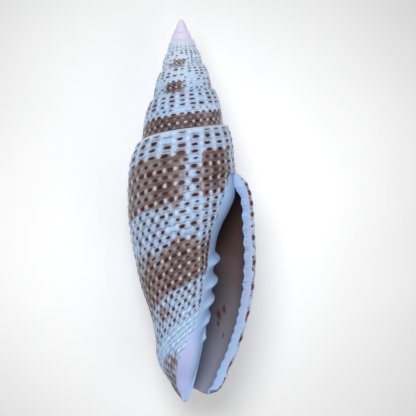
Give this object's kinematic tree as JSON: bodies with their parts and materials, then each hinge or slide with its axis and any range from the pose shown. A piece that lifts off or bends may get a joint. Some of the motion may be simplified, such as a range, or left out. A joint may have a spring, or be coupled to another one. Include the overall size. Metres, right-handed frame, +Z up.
{
  "type": "mitre shell",
  "caption": "Slender spired sea shell lying on its back, with a stepped spire, long toothed aperture, folded columella and an open canal notch.",
  "frame": {"origin": "centre of the bounding box's bottom face, where the shell lies on a level surface", "axes": "+Y towards the tip of the spire, +X towards the outer lip, +Z up out of the mouth"},
  "size_m": [0.0164, 0.05, 0.0147],
  "materials": {
    "shell": "satin"
  },
  "bodies": {
    "root": {"shell": "shell"}
  },
  "joints": []
}
